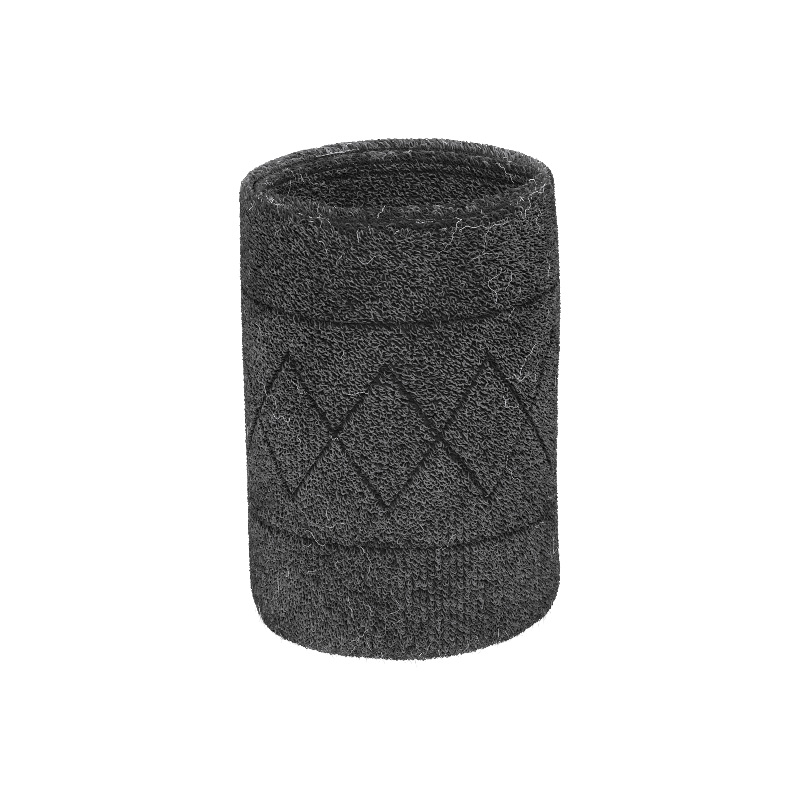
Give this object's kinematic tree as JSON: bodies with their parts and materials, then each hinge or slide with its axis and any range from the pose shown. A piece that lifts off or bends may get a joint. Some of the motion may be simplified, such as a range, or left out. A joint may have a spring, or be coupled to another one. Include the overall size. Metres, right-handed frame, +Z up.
{
  "type": "sweat wristband",
  "caption": "Tubular terry sweat wristband standing on end, with a folded bottom edge and a grooved top rim round a lens-shaped wrist opening.",
  "frame": {"origin": "middle of the folded edge that the band stands on, on the axis of the tube", "axes": "+Z up along the tube towards the grooved rim, +X across the wider side of the band, -Y to the front of the upright view"},
  "size_m": [0.054, 0.049, 0.08],
  "materials": {
    "terry_pile": "charcoal cotton terry loops, matt and fuzzy",
    "ground_knit": "dark ribbed ground knit, matt",
    "elastic_yarn": "covered elastic yarn, faint satin",
    "seam_thread": "twisted polyester sewing thread, slight sheen"
  },
  "bodies": {
    "root": {"outer_terry_pile": "terry_pile", "outer_ground_knit": "ground_knit", "outer_elastic_yarn": "elastic_yarn", "inner_terry_pile": "terry_pile", "inner_ground_knit": "ground_knit", "inner_elastic_yarn": "elastic_yarn", "seam_needle_thread": "seam_thread", "seam_upper_looper_thread": "seam_thread", "seam_lower_looper_thread": "seam_thread"}
  },
  "joints": []
}
